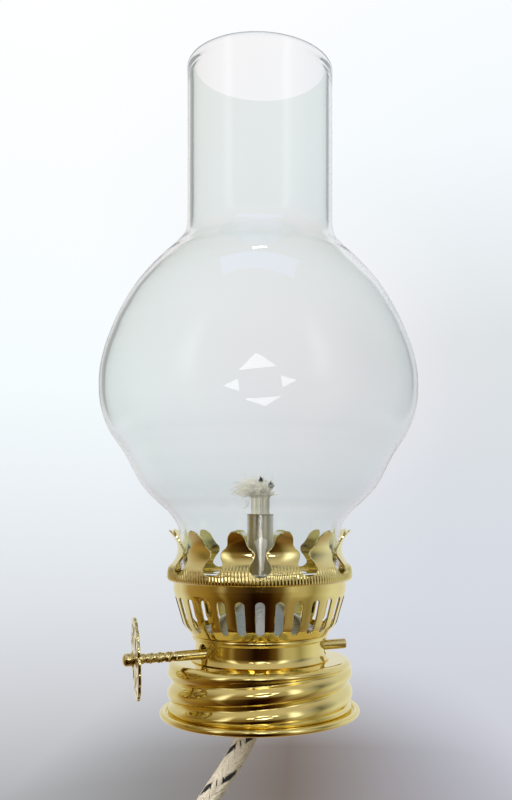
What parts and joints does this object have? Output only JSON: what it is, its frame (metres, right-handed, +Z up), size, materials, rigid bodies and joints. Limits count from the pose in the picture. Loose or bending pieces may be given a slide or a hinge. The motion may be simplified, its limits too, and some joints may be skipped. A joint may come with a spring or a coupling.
{
  "type": "oil lamp burner with chimney",
  "caption": "Brass oil lamp burner on a screw cap, with a pronged vented gallery, a wick raiser with a pierced hand wheel, a round cotton wick and a glass ball chimney.",
  "frame": {"origin": "on the lamp's axis, in the plane of the screw cap's rim, where the burner stands on its font", "axes": "+Z up along the chimney; the hand wheel of the wick raiser points to -X; +Y to the back"},
  "size_m": [0.0888, 0.0888, 0.2742],
  "materials": {
    "clear_glass": "clear, fire-polished edges",
    "polished_brass": "polished sheet",
    "plain_brass": "plain, slightly dulled",
    "bright_steel": "bright drawn sheet",
    "wick_cotton": "round braid, undyed with dark tracer threads"
  },
  "bodies": {
    "burner": {"screw_cap": "polished_brass", "burner_sleeve": "polished_brass", "vent_basket": "polished_brass", "prong_crown": "polished_brass", "tube_cone": "plain_brass", "wick_tube": "bright_steel", "shaft_bracket": "bright_steel"},
    "raiser": {"wick_shaft": "plain_brass", "wick_wheel": "bright_steel", "hand_wheel": "plain_brass", "hand_wheel_nut": "plain_brass"},
    "wick": {"wick_core": "wick_cotton", "wick_tuft": "wick_cotton", "wick_tail": "wick_cotton"},
    "glass": {"chimney": "clear_glass"}
  },
  "joints": [
    {"name": "raiser_turn", "type": "hinge", "parent": "burner", "child": "raiser", "pos_m": [0, -0.006, 0.01885], "axis": [0.9995, 0, 0.0314], "range_deg": [-45, 90]},
    {"name": "wick_slide", "type": "slide", "parent": "burner", "child": "wick", "axis": [0, 0, 1], "range_m": [-0.0025, 0.0049]},
    {"name": "chimney_lift", "type": "slide", "parent": "burner", "child": "glass", "axis": [0, 0, 1], "range_m": [0, 0.036]}
  ],
  "couplings": [
    {"joint": "wick_slide", "follows": "raiser_turn", "m_per_rad": 0.0031}
  ]
}
